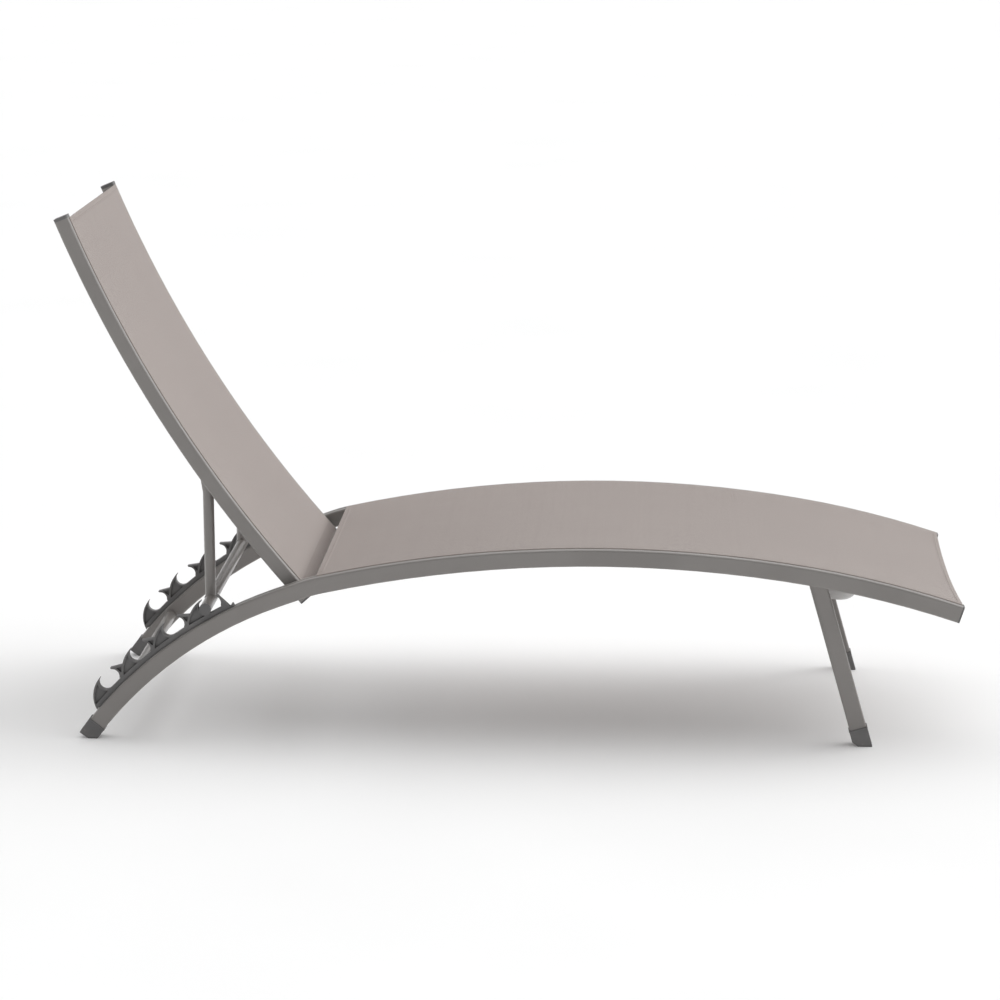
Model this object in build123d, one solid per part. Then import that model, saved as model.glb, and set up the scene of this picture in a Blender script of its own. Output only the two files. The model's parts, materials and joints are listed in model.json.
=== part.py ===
from build123d import *
import math
import os

# Sun lounger: a curved tube frame, stretched fabric seat and back, and a back
# prop whose bar sits in notched racks on the rear legs.
# Millimetres. X runs from the head end to the foot end, Y from the sitter's
# right to the sitter's left, and Z up from the floor.

# Tube of the seat and back rails, with a groove for the fabric's edge cord
lounger_width = 590
rail_width = 25
rail_depth = 30
rail_corner = 4
rail_wall = 1.6
groove_slot = 3.2
groove_width = 6
groove_depth = 5
groove_lip = 1.6

# Path of a side rail from the floor at the head end to the foot end
foot_slope = 54.39
leg_run = 429
leg_radius = 714
thigh_run = 49
hip_run = 31.6
hip_radius = 250
seat_run = 854
seat_radius = 2227
toe_run = 263
toe_radius = 1719

# Path of a back rail from its lower end to its top
back_depth = 25
hinge_gap = 16
back_slope = 48.3
back_run = 781
back_radius = 2321
hinge_along = 461
hinge_up = 25

# Plastic caps on the tube ends
cap_wall = 1
cap_sole = 5
cap_edge = 3
foot_cap_toe = 2
foot_cap_rim = 33
leg_cap_rim = 33
leg_heel = 8
end_cap_thickness = 3
top_cap_thickness = 5.5
end_cap_plug = 14
plug_clearance = 0.15

# Front legs
leg_lean = 16.3
leg_depth = 30
leg_corner = 3
leg_behind_toe = 159
leg_above_centre = 8

# Cross tubes
tube_wall = 1.5
bow_radius = 12.5
bow_forward = 68
bow_down = 47
bow_below_centre = 29
rear_stretcher_radius = 10
rear_stretcher_along = 104
spreader_radius = 9
spreader_along = 514
spreader_drop = 6
lower_tube_radius = 9.5
lower_tube_up = 9
upper_tube_radius = 9
upper_tube_from_top = 118
upper_tube_drop = 3

# Racks
pocket_count = 4
first_pocket_along = 96.3
pocket_pitch = 71.6
pocket_radius = 12.7
pocket_spread = 15.5
pocket_offset = 1
rack_width = 12
rack_base = 8.3
rack_tail = 6
rack_head = 45
rack_toe = 3
rack_rim = 2.8
rack_web = 4
hook_foot = 45.5
hook_belly = 25.5
hook_belly_height = 26
hook_height = 34.8
hook_setback = 0.6
horn_tip = 23.7
horn_height = 34
horn_root = 42
horn_root_height = 23.5
last_horn_tip = 25.2
last_horn_height = 31
last_horn_back = 27.5
last_horn_foot = 38
end_lip_height = 5.5
end_lip_length = 2.5

# Back prop: two struts and a bar that rests in the top pockets
bar_radius = 10
bar_gap = 0.3
bar_overhang = 3.5
bar_cap_radius = 10.4
bar_cap_length = 3
bar_plug = 12
strut_radius = 9.5
prop_up = 278
paddle_thickness = 4
paddle_width = 24
paddle_straight = 13
paddle_taper = 26
paddle_edge = 1.6

# Fabric, and the cords that hold it in the grooves
fabric_thickness = 1.2
fabric_rise = 0.25
fabric_sections = 23
seat_fabric_start = 506
fabric_margin = 0.5
seat_sag = 9
seat_sag_power = 0.4
back_sag = 7
back_sag_power = 0.6
back_sag_angle = 175
least_sag = 0.1
roll_side_gap = 1
cord_radius = 2.2
cord_clearance = 0.1
cord_gap = 0.4
cord_end_margin = 4

# Fasteners
play = 0.2
running_clearance = 0.05
hinge_bolt_radius = 4
hinge_head_radius = 6
hinge_head_height = 4
bush_radius = 5.6
bush_flange_radius = 9
bush_flange = 1.5
spacer_radius = 9
hinge_insert_radius = 5.5
hinge_insert_length = 7
insert_crimp = 1.5
insert_crimp_length = 1.5
prop_bolt_radius = 3
prop_head_radius = 6
prop_head_height = 3.3
prop_insert_radius = 4.2
prop_insert_length = 12
leg_bolt_radius = 3
leg_bolt_spacing = 14
leg_bolt_drop = 3.5
leg_head_radius = 5
leg_head_height = 3.3
leg_insert_radius = 4.4
leg_insert_length = 10
socket_share = 0.4
socket_depth_share = 0.6
head_round_share = 0.35
screw_radius = 2
screw_head_radius = 4
screw_head_height = 2.4
screw_slot_width = 0.8
screw_length = 17
hole_clearance = 0.2
cut_over = 1

# Sizes that follow from the ones above
half_depth = rail_depth / 2
back_half = back_depth / 2
rail_y = (lounger_width - rail_width) / 2
rail_inner_y = lounger_width / 2 - rail_width
back_outer_y = rail_inner_y - hinge_gap
back_y = back_outer_y - rail_width / 2
back_inner_y = back_outer_y - rail_width
leg_inner_y = rail_inner_y - rail_width
bar_half = rail_y + rack_width / 2 + bar_overhang
cap_half = half_depth + cap_wall
rail_run = leg_run + thigh_run + hip_run + seat_run + toe_run
rail_start = (cap_sole + half_depth * math.cos(math.radians(foot_slope))) / math.sin(math.radians(foot_slope))
pockets = [first_pocket_along + number * pocket_pitch for number in range(pocket_count)]
cord_below = groove_lip + math.sqrt(cord_radius**2 - (groove_slot / 2) ** 2) + cord_clearance


def path_at(path, along, out=0):
    # Point of a tube's path, measured along it and then out to its left
    x, z, slope = path["x"], path["z"], path["slope"]
    for run, radius in path["spans"]:
        step = min(along, run)
        turn = step / radius if radius else 0
        chord = 2 * radius * math.sin(turn / 2) if radius else step
        x += chord * math.cos(slope - turn / 2)
        z += chord * math.sin(slope - turn / 2)
        slope -= turn
        along -= step
    x += along * math.cos(slope)
    z += along * math.sin(slope)
    return (x - out * math.sin(slope), z + out * math.cos(slope))


def path_heading(path, along):
    slope = path["slope"]
    for run, radius in path["spans"]:
        step = min(along, run)
        slope -= step / radius if radius else 0
        along -= step
    return slope


def run_edges(path, first, last, out):
    # Lines and arcs that follow a path at one offset
    joins = [first]
    passed = 0
    for run, radius in path["spans"][:-1]:
        passed += run
        if first < passed < last:
            joins.append(passed)
    joins.append(last)
    edges = []
    for start, end in zip(joins, joins[1:]):
        middle = (start + end) / 2
        ends = [path_at(path, start, out), path_at(path, end, out)]
        if math.isclose(path_heading(path, start), path_heading(path, end)):
            edges.append(Line(*ends))
        else:
            edges.append(ThreePointArc(ends[0], path_at(path, middle, out), ends[1]))
    return edges


def strip(path, first, last, low, high):
    # Face along a path between two offsets from it
    edges = run_edges(path, first, last, low) + run_edges(path, first, last, high)
    for end in (first, last):
        edges.append(Line(path_at(path, end, low), path_at(path, end, high)))
    return make_face(edges)


def slab(face, low, high):
    # Outline in X and Z, given a thickness from y = low to y = high
    return extrude(Plane.XZ.offset(-high) * face, high - low, dir=(0, -1, 0))


def pin(centre, radius, low, high):
    return slab(Pos(*centre) * Circle(radius), low, high)


def pipe(centre, radius, low, high):
    bore = pin(centre, radius - tube_wall, low - cut_over, high + cut_over)
    return pin(centre, radius, low, high) - bore


def long_edges(solid, end_length):
    # Edges of a slab that run along it, so not across it nor at its cut ends
    edges = solid.edges().filter_by(Axis.Y, reverse=True)
    return [edge for edge in edges if abs(edge.length - end_length) > running_clearance]


def cross_plane(path, along, y=0):
    # Plane square to a path, with its first axis across the lounger
    x, z = path_at(path, along)
    slope = path_heading(path, along)
    return Plane(origin=(x, y, z), x_dir=(0, 1, 0), z_dir=(math.cos(slope), 0, math.sin(slope)))


def out_plane(path, along, out, y):
    # Plane that faces out of a tube's upper side
    x, z = path_at(path, along, out)
    slope = path_heading(path, along)
    return Plane(origin=(x, y, z), x_dir=(0, 1, 0), z_dir=(-math.sin(slope), 0, math.cos(slope)))


rail_path = {
    "x": 0,
    "z": 0,
    "slope": math.radians(foot_slope),
    "spans": [
        (leg_run, leg_radius),
        (thigh_run, 0),
        (hip_run, hip_radius),
        (seat_run, seat_radius),
        (toe_run, toe_radius),
    ],
}
hinge = path_at(rail_path, hinge_along)
back_path = {"x": 0, "z": 0, "slope": math.radians(180 - back_slope), "spans": [(back_run, back_radius)]}
hinge_offset = path_at(back_path, hinge_up)
back_path["x"] = hinge[0] - hinge_offset[0]
back_path["z"] = hinge[1] - hinge_offset[1]
leg_foot = path_at(rail_path, rail_run)[0] - leg_behind_toe
prop_pivot = path_at(back_path, prop_up)


def find_leg_crossing():
    # Where the leg's centre line meets the rail's, by halving the distance
    near = rail_run - toe_run - seat_run / 2
    far = rail_run
    slope = math.tan(math.radians(leg_lean))
    for step in range(40):
        middle = (near + far) / 2
        x, z = path_at(rail_path, middle)
        if x < leg_foot - z * slope:
            near = middle
        else:
            far = middle
    return middle


leg_crossing = find_leg_crossing()
leg_length = math.dist((leg_foot, 0), path_at(rail_path, leg_crossing)) + 2 * leg_depth
leg_slope = math.radians(90 + leg_lean)
leg_path = {"x": leg_foot, "z": 0, "slope": leg_slope, "spans": [(leg_length, 0)]}
leg_start = (cap_sole + leg_depth / 2 * math.sin(math.radians(leg_lean))) / math.cos(math.radians(leg_lean))


def rack_at(pocket, across, up):
    # Point beside a pocket: along the rail from the hook's tip, up from its top
    return path_at(rail_path, pocket + across, half_depth + up)


def bar_centre():
    # The bar hangs its weight straight down on the pocket's round wall
    x, z = rack_at(pockets[-1], pocket_offset, rack_base + pocket_radius)
    return (x, z - (pocket_radius - bar_radius - bar_gap))


bar = bar_centre()
prop_length = math.dist(prop_pivot, bar)
prop_slope = math.atan2(bar[1] - prop_pivot[1], bar[0] - prop_pivot[0])
prop_path = {"x": prop_pivot[0], "z": prop_pivot[1], "slope": prop_slope, "spans": [(prop_length, 0)]}


def grooved_tube(path, first, last, top, half):
    # The groove is to the left of the path where top is 1, to its right at -1
    tube = slab(strip(path, first, last, -half, half), -rail_width / 2, rail_width / 2)
    tube = fillet(long_edges(tube, 2 * half), rail_corner)
    start = first - cut_over
    end = last + cut_over
    inside = half - rail_wall
    across = rail_width / 2 - rail_wall
    housing = groove_width / 2 + rail_wall
    lip_under = half - groove_lip
    floor = lip_under - groove_depth
    cavity = slab(strip(path, start, end, -inside, inside), -across, across)
    cavity -= slab(strip(path, start, end, top * (floor - rail_wall), top * half), -housing, housing)
    channel = strip(path, start, end, top * floor, top * lip_under)
    slot = strip(path, start, end, top * (floor + groove_lip), top * (half + cut_over))
    tube -= cavity
    tube -= slab(channel, -groove_width / 2, groove_width / 2)
    return tube - slab(slot, -groove_slot / 2, groove_slot / 2)


def insert(centre, radius, bore, start, length):
    # Threaded insert crimped in a tube's inner wall, seen from the middle
    body = pin(centre, radius, start, start + length)
    crimp_start = start + rail_wall
    body += pin(centre, radius + insert_crimp, crimp_start, crimp_start + insert_crimp_length)
    return body - pin(centre, bore, start - cut_over, start + length + cut_over)


def bolt(centre, radius, head_radius, head_height, seat, end):
    # Low round head towards the middle of the lounger, with a hexagon socket
    shank = pin(centre, radius, seat, end)
    head = pin(centre, head_radius, seat - head_height, seat)
    rim = head.edges().filter_by(GeomType.CIRCLE).sort_by(Axis.Y)[0]
    head = fillet(rim, head_height * head_round_share)
    hexagon = Pos(*centre) * RegularPolygon(head_radius * socket_share, 6)
    depth = head_height * socket_depth_share
    socket = slab(hexagon, seat - head_height - cut_over, seat - head_height + depth)
    return head + shank - socket


def leg_bolt_points():
    halves = (-leg_bolt_spacing / 2, leg_bolt_spacing / 2)
    return [path_at(rail_path, leg_crossing + half, -leg_bolt_drop) for half in halves]


def screw_numbers():
    # A screw through the rack's base at every other pocket
    return range(0, pocket_count, 2)


def screw_plane(number):
    middle = pockets[number] + pocket_offset + pocket_spread / 2
    return out_plane(rail_path, middle, half_depth + rack_base, rail_y)


def rack_screw(number):
    below = (Align.CENTER, Align.CENTER, Align.MAX)
    head = Pos(0, 0, -screw_head_height / 2) * Cone(screw_radius, screw_head_radius, screw_head_height)
    shank = Cylinder(screw_radius, screw_length - screw_head_height, align=below)
    slot = Box(screw_head_radius, screw_slot_width, screw_head_height / 2)
    return screw_plane(number) * (head + Pos(0, 0, -screw_head_height) * shank - slot)


def screw_hole(number):
    length = screw_length + cut_over
    hole = Cylinder(screw_radius + hole_clearance, length, align=(Align.CENTER, Align.CENTER, Align.MAX))
    head = Pos(0, 0, -screw_head_height / 2) * Cone(screw_radius, screw_head_radius, screw_head_height)
    return screw_plane(number) * (hole + head)


def side_rail():
    rail = Pos(0, rail_y, 0) * grooved_tube(rail_path, rail_start, rail_run, 1, half_depth)
    rail -= pin(hinge, hinge_insert_radius, rail_inner_y - cut_over, rail_inner_y + rail_wall + cut_over)
    for point in leg_bolt_points():
        rail -= pin(point, leg_insert_radius, rail_inner_y - cut_over, rail_inner_y + rail_wall + cut_over)
    for number in screw_numbers():
        rail -= screw_hole(number)
    return rail


def rear_foot_cap():
    outer = strip(rail_path, foot_cap_toe, foot_cap_rim, -cap_half, cap_half)
    outer -= Rectangle(leg_run, leg_run, align=(Align.CENTER, Align.MAX))
    outer = fillet(outer.vertices().group_by(Axis.Y)[0], cap_edge)
    across = rail_width / 2 + cap_wall
    pocket = strip(rail_path, rail_start, foot_cap_rim + cut_over, -half_depth, half_depth)
    cap = slab(outer, -across, across) - slab(pocket, -rail_width / 2, rail_width / 2)
    return Pos(0, rail_y, 0) * cap


def end_cap(path, end, turn, top, y, thickness, half):
    # Plate over a rail's end, with a plug in the tube below the groove
    faces = sorted([end, end + turn * thickness])
    plate = slab(strip(path, *faces, -half, half), -rail_width / 2, rail_width / 2)
    plate = fillet(long_edges(plate, 2 * half), rail_corner)
    inside = half - rail_wall - plug_clearance
    across = rail_width / 2 - rail_wall - plug_clearance
    under = inside - groove_lip - groove_depth
    ends = sorted([end, end - turn * end_cap_plug])
    plug = slab(strip(path, *ends, -top * inside, top * under), -across, across)
    return Pos(0, y, 0) * (plate + plug)


def front_leg():
    half = leg_depth / 2
    outer = slab(strip(leg_path, leg_start, leg_length, -half, half), leg_inner_y, rail_inner_y)
    outer = fillet(long_edges(outer, leg_depth), leg_corner)
    inside = half - rail_wall
    cavity = strip(leg_path, leg_start - cut_over, leg_length + cut_over, -inside, inside)
    leg = outer - slab(cavity, leg_inner_y + rail_wall, rail_inner_y - rail_wall)
    reach = 4 * leg_depth
    above = strip(rail_path, leg_crossing - reach, leg_crossing + reach, leg_above_centre, reach)
    leg -= slab(above, 0, lounger_width)
    for point in leg_bolt_points():
        leg -= pin(point, leg_bolt_radius + hole_clearance, leg_inner_y - cut_over, rail_inner_y + cut_over)
    return leg


def front_foot_cap():
    half = leg_depth / 2 + cap_wall
    outer = strip(leg_path, -leg_depth, leg_cap_rim, -half, half)
    outer -= Pos(leg_foot, 0) * Rectangle(leg_length, leg_length, align=(Align.CENTER, Align.MAX))
    toe = outer.vertices().group_by(Axis.Y)[0].sort_by(Axis.X)[-1]
    outer = chamfer(toe, cap_wall)
    heel = outer.vertices().group_by(Axis.Y)[0].sort_by(Axis.X)[0]
    outer = chamfer(heel, leg_heel)
    pocket = strip(leg_path, leg_start, leg_cap_rim + cut_over, -leg_depth / 2, leg_depth / 2)
    cap = slab(outer, leg_inner_y - cap_wall, rail_inner_y + cap_wall)
    return cap - slab(pocket, leg_inner_y, rail_inner_y)


def bow_point(y):
    # Point of the front stretcher's round bow, which hangs forward and down
    depth = math.hypot(bow_forward, bow_down)
    radius = (leg_inner_y**2 + depth**2) / (2 * depth)
    bulge = math.sqrt(radius**2 - y**2) - radius + depth
    x, z = path_at(leg_path, bow_height())
    return (x + bow_forward / depth * bulge, y, z - bow_down / depth * bulge)


def bow_height():
    x, z = path_at(rail_path, leg_crossing, -bow_below_centre)
    return z / math.cos(math.radians(leg_lean))


def front_stretcher():
    reach = leg_inner_y + rail_width / 2
    line = ThreePointArc(bow_point(-reach), bow_point(0), bow_point(reach))
    end = Plane(origin=line @ 0, z_dir=line % 0)
    tube = sweep(end * Circle(bow_radius), path=line) - sweep(end * Circle(bow_radius - tube_wall), path=line)
    x, y, z = bow_point(0)
    between = Pos(x, 0, z) * Box(leg_run, 2 * leg_inner_y, leg_run)
    return tube & between


def rear_stretcher():
    centre = path_at(rail_path, rear_stretcher_along)
    return pipe(centre, rear_stretcher_radius, -rail_inner_y, rail_inner_y)


def seat_spreader():
    centre = path_at(rail_path, spreader_along, -spreader_drop)
    return pipe(centre, spreader_radius, -rail_inner_y, rail_inner_y)


def leg_bolts():
    sizes = (leg_bolt_radius, leg_head_radius, leg_head_height)
    end = rail_inner_y + leg_insert_length
    return [bolt(point, *sizes, leg_inner_y, end) for point in leg_bolt_points()]


def leg_inserts():
    return [
        insert(point, leg_insert_radius, leg_bolt_radius, rail_inner_y, leg_insert_length)
        for point in leg_bolt_points()
    ]


def pocket_shape(number, radius):
    pocket = pockets[number] + pocket_offset
    ends = [rack_at(pocket, step, rack_base + pocket_radius) for step in (0, pocket_spread)]
    middle = ((ends[0][0] + ends[1][0]) / 2, (ends[0][1] + ends[1][1]) / 2)
    angle = math.degrees(math.atan2(ends[1][1] - ends[0][1], ends[1][0] - ends[0][0]))
    return Pos(*middle) * Rot(0, 0, angle) * SlotCenterToCenter(math.dist(*ends), 2 * radius)


def outline(points):
    return make_face(Polyline(*points, close=True))


def hook(pocket, inset, base):
    # Shark's fin below a pocket, drawn inwards by inset for its hollow sides
    foot = rack_at(pocket, -hook_foot + 2 * inset, base)
    belly = rack_at(pocket, -hook_belly + inset / 2, hook_belly_height - inset)
    tip = rack_at(pocket, -hook_setback - inset, hook_height - inset)
    heel = rack_at(pocket, -hook_setback - inset, base)
    return make_face([ThreePointArc(foot, belly, tip), Line(tip, heel), Line(heel, foot)])


def horn(number):
    # Point that closes a pocket from above and joins the next hook
    low = rack_base / 4
    if number == pocket_count - 1:
        front = last_horn_tip
        points = [(front, last_horn_height), (last_horn_back, last_horn_height), (last_horn_foot, low)]
    else:
        front = horn_tip
        points = [(front, horn_height), (horn_root, horn_root_height), (horn_root, low)]
    return outline([rack_at(pockets[number], *point) for point in [(front, low), *points]])


def horn_hollow(number):
    points = [
        (horn_tip + rack_rim, horn_height - 2 * rack_rim),
        (horn_root - rack_rim, horn_root_height - rack_rim / 2),
        ((horn_tip + horn_root) / 2, horn_root_height - 3 * rack_rim),
    ]
    return outline([rack_at(pockets[number], *point) for point in points])


def rack_outline():
    # Strip on the rail with a hook and a horn for each pocket
    last = pockets[-1]
    start = pockets[0] - hook_foot + rack_tail
    end = last + rack_head
    shape = strip(rail_path, start, last + last_horn_back, half_depth, half_depth + rack_base)
    shape += strip(rail_path, start, end, half_depth, half_depth + rack_toe)
    shape += strip(rail_path, end - end_lip_length, end, half_depth, half_depth + end_lip_height)
    for number, pocket in enumerate(pockets):
        shape += hook(pocket, 0, rack_base / 8)
        shape += horn(number)
    for number in range(pocket_count):
        shape -= pocket_shape(number, pocket_radius)
    return shape


def rack():
    # A thin web with rims on both sides, on the middle of the rail's top
    body = slab(rack_outline(), -rack_width / 2, rack_width / 2)
    for number, pocket in enumerate(pockets):
        rimmed = pocket_shape(number, pocket_radius + rack_rim)
        hollows = hook(pocket, rack_rim, rack_base) - rimmed
        if number < pocket_count - 1:
            hollows += horn_hollow(number) - rimmed
        body -= slab(hollows, rack_web / 2, rack_width)
        body -= slab(hollows, -rack_width, -rack_web / 2)
    body = Pos(0, rail_y, 0) * body
    for number in screw_numbers():
        body -= screw_hole(number)
    return body


def fabric_section(path, along, side_y, inner_y, top, sag, half):
    # Cross-section of a stretched sheet, with an edge down into each groove
    under = half + fabric_rise
    over = under + fabric_thickness
    low = half - cord_below + cord_radius + cord_gap
    far = side_y + fabric_thickness / 2
    near = side_y - fabric_thickness / 2
    edges = [ThreePointArc((-inner_y, over), (0, over - sag), (inner_y, over))]
    edges.append(ThreePointArc((-inner_y, under), (0, under - sag), (inner_y, under)))
    side = [(inner_y, over), (far, over), (far, low), (near, low), (near, under), (inner_y, under)]
    for turn in (-1, 1):
        corners = [(turn * y, out) for y, out in side]
        edges += [Line(start, end) for start, end in zip(corners, corners[1:])]
    face = make_face(edges)
    if top < 0:
        face = mirror(face, about=Plane.XZ)
    return cross_plane(path, along) * face


def fabric(path, first, last, side_y, inner_y, top, sag_at, half):
    # Stretched sheet, where sag_at gives its depth at each share of its length
    sections = []
    for number in range(fabric_sections):
        share = number / (fabric_sections - 1)
        along = first + (last - first) * share
        sections.append(fabric_section(path, along, side_y, inner_y, top, sag_at(share), half))
    return loft(sections)


def seat_sag_at(share):
    # Straight at the rear edge, deepest at the free edge at the toes
    return least_sag + (seat_sag - least_sag) * share**seat_sag_power


def back_sag_at(share):
    # Drawn flat on the lower tube, deepest behind the waist, flat at the top
    swing = math.sin(math.radians(back_sag_angle) * share**back_sag_power)
    return least_sag + (back_sag - least_sag) * swing


def seat_fabric():
    end = rail_run - fabric_margin
    return fabric(rail_path, seat_fabric_start, end, rail_y, rail_inner_y, 1, seat_sag_at, half_depth)


def back_fabric():
    # The lower edge rolls round the back's lower cross tube
    end = back_run - fabric_margin
    sheet = fabric(back_path, lower_tube_up, end, back_y, back_inner_y, -1, back_sag_at, back_half)
    inner = lower_tube_radius + fabric_rise
    ring = Pos(*lower_tube_centre()) * (Circle(inner + fabric_thickness) - Circle(inner))
    below = strip(back_path, lower_tube_up - rail_depth, lower_tube_up, -rail_depth, rail_depth)
    across = back_inner_y - roll_side_gap
    return sheet + slab(ring & below, -across, across)


def lower_tube_centre():
    return path_at(back_path, lower_tube_up, lower_tube_radius - back_half)


def edge_cord(path, first, last, out, y):
    edges = [edge.edge() for edge in run_edges(path, first, last, out)]
    line = Plane.XZ.offset(-y) * Wire(edges)
    return sweep(Plane(origin=line @ 0, z_dir=line % 0) * Circle(cord_radius), path=line)


def hinge_bolt():
    seat = back_inner_y - play
    end = rail_inner_y + hinge_insert_length
    return bolt(hinge, hinge_bolt_radius, hinge_head_radius, hinge_head_height, seat, end)


def hinge_insert():
    return insert(hinge, hinge_insert_radius, hinge_bolt_radius, rail_inner_y, hinge_insert_length)


def hinge_bush():
    bush = pin(hinge, bush_radius, back_inner_y, back_outer_y)
    bush += pin(hinge, bush_flange_radius, back_outer_y, back_outer_y + bush_flange)
    bore = hinge_bolt_radius + running_clearance
    return bush - pin(hinge, bore, back_inner_y - cut_over, back_outer_y + bush_flange + cut_over)


def hinge_spacer():
    start = back_outer_y + bush_flange + play
    spacer = pin(hinge, spacer_radius, start, rail_inner_y)
    return spacer - pin(hinge, hinge_bolt_radius, start - cut_over, rail_inner_y + cut_over)


def back_rail():
    rail = Pos(0, back_y, 0) * grooved_tube(back_path, 0, back_run, -1, back_half)
    rail -= pin(hinge, bush_radius, back_inner_y - cut_over, back_outer_y + cut_over)
    wall_end = back_inner_y + rail_wall + cut_over
    return rail - pin(prop_pivot, prop_insert_radius, back_inner_y - cut_over, wall_end)


def back_lower_tube():
    return pipe(lower_tube_centre(), lower_tube_radius, -back_inner_y, back_inner_y)


def back_upper_tube():
    centre = path_at(back_path, back_run - upper_tube_from_top, upper_tube_drop)
    return pipe(centre, upper_tube_radius, -back_inner_y, back_inner_y)


def prop_bolt():
    seat = back_inner_y - paddle_thickness - 2 * play
    end = back_inner_y + prop_insert_length
    return bolt(prop_pivot, prop_bolt_radius, prop_head_radius, prop_head_height, seat, end)


def prop_insert():
    return insert(prop_pivot, prop_insert_radius, prop_bolt_radius, back_inner_y, prop_insert_length)


def strut():
    # Round tube with its upper end pressed flat against the back rail
    outer_y = back_inner_y - play
    taper_start = paddle_straight
    taper_end = paddle_straight + paddle_taper
    flat = strip(prop_path, 0, taper_start, -paddle_width / 2, paddle_width / 2)
    flat += Pos(*prop_pivot) * Circle(paddle_width / 2)
    paddle = slab(flat, outer_y - paddle_thickness, outer_y)
    flat_plane = cross_plane(prop_path, taper_start, outer_y - paddle_thickness / 2)
    round_plane = cross_plane(prop_path, taper_end, outer_y - strut_radius)
    pressed = RectangleRounded(paddle_thickness, paddle_width, paddle_edge)
    taper = loft([flat_plane * pressed, round_plane * Circle(strut_radius)])
    length = prop_length - taper_end
    tube = extrude(round_plane * Circle(strut_radius), length) - extrude(
        round_plane * Circle(strut_radius - tube_wall), length
    )
    hole = prop_bolt_radius + running_clearance
    solid = paddle + taper + tube - pin(prop_pivot, hole, 0, lounger_width)
    return solid - pin(bar, bar_radius, 0, lounger_width)


def crossbar():
    return pipe(bar, bar_radius, -bar_half, bar_half)


def bar_cap():
    # Button on the bar's end just outside the rack, with a plug in the bar
    plug_radius = bar_radius - tube_wall - plug_clearance
    button = pin(bar, bar_cap_radius, bar_half, bar_half + bar_cap_length)
    return button + pin(bar, plug_radius, bar_half - bar_plug, bar_half)


parts = {}


def add(name, shape):
    parts[name] = shape


def add_pair(name, shape):
    # The sitter's left is at plus y, and the right side mirrors it
    add(name + "_left", shape)
    add(name + "_right", mirror(shape, about=Plane.XZ))


def add_group(name, shapes):
    solids = []
    for shape in shapes:
        solids += shape.solids()
        solids += mirror(shape, about=Plane.XZ).solids()
    add(name, Compound(children=solids))


add_pair("side_rail", side_rail())
add_pair("rear_foot_cap", rear_foot_cap())
add_pair("toe_end_cap", end_cap(rail_path, rail_run, 1, 1, rail_y, end_cap_thickness, half_depth))
add_pair("front_leg", front_leg())
add_pair("front_foot_cap", front_foot_cap())
add_group("leg_bolts", leg_bolts())
add_group("leg_inserts", leg_inserts())
add("front_stretcher", front_stretcher())
add("rear_stretcher", rear_stretcher())
add("seat_spreader", seat_spreader())
add_pair("rack", rack())
add_group("rack_screws", [rack_screw(number) for number in screw_numbers()])
add("seat_fabric", seat_fabric())
cord_start = seat_fabric_start + cord_end_margin
cord_end = rail_run - cord_end_margin
add_pair("seat_cord", edge_cord(rail_path, cord_start, cord_end, half_depth - cord_below, rail_y))
add_group("hinge_bolts", [hinge_bolt()])
add_group("hinge_spacers", [hinge_spacer()])
add_group("hinge_inserts", [hinge_insert()])

add_pair("back_rail", back_rail())
add_pair("back_top_cap", end_cap(back_path, back_run, 1, -1, back_y, top_cap_thickness, back_half))
add_pair("back_lower_cap", end_cap(back_path, 0, -1, -1, back_y, end_cap_thickness, back_half))
add("back_lower_tube", back_lower_tube())
add("back_upper_tube", back_upper_tube())
add("back_fabric", back_fabric())
cord_start = lower_tube_up + cord_end_margin
cord_end = back_run - cord_end_margin
add_pair("back_cord", edge_cord(back_path, cord_start, cord_end, cord_below - back_half, back_y))
add_group("hinge_bushes", [hinge_bush()])
add_group("prop_bolts", [prop_bolt()])
add_group("prop_inserts", [prop_insert()])

add_pair("strut", strut())
add("crossbar", crossbar())
add_pair("crossbar_cap", bar_cap())

# The origin is on the floor under the middle of the lounger's length
boxes = [shape.bounding_box() for shape in parts.values()]
shift = -(min(box.min.X for box in boxes) + max(box.max.X for box in boxes)) / 2
os.makedirs("parts", exist_ok=True)
for name, shape in parts.items():
    export_step(Pos(shift, 0, 0) * shape, f"parts/{name}.step")

print("shift", round(shift, 3))
print("hinge", round(hinge[0] + shift, 3), round(hinge[1], 3))
print("prop pivot", round(prop_pivot[0] + shift, 3), round(prop_pivot[1], 3))
print("bar", round(bar[0] + shift, 3), round(bar[1], 3), "prop length", round(prop_length, 2))
print("length", round(max(box.max.X for box in boxes) - min(box.min.X for box in boxes), 1))
print("height", round(max(box.max.Z for box in boxes), 1))
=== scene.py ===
import bpy
import json
import math
import random
from mathutils import Matrix, Vector, noise


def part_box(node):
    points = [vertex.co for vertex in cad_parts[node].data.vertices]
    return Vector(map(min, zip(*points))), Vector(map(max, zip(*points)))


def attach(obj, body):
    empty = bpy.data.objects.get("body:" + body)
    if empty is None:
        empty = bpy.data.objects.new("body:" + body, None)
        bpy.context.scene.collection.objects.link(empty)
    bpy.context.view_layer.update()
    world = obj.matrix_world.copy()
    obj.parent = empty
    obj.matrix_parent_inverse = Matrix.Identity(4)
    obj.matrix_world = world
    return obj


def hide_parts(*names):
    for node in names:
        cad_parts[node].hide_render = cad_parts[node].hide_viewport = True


# Sun lounger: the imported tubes, racks and caps get their finishes here, and the
# woven slings, their hems and stitching, the weld beads and the rims of the foot
# caps are built on them.
# Metres. X runs to the foot end, Y to the sitter's left, Z up from the floor.

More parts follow.
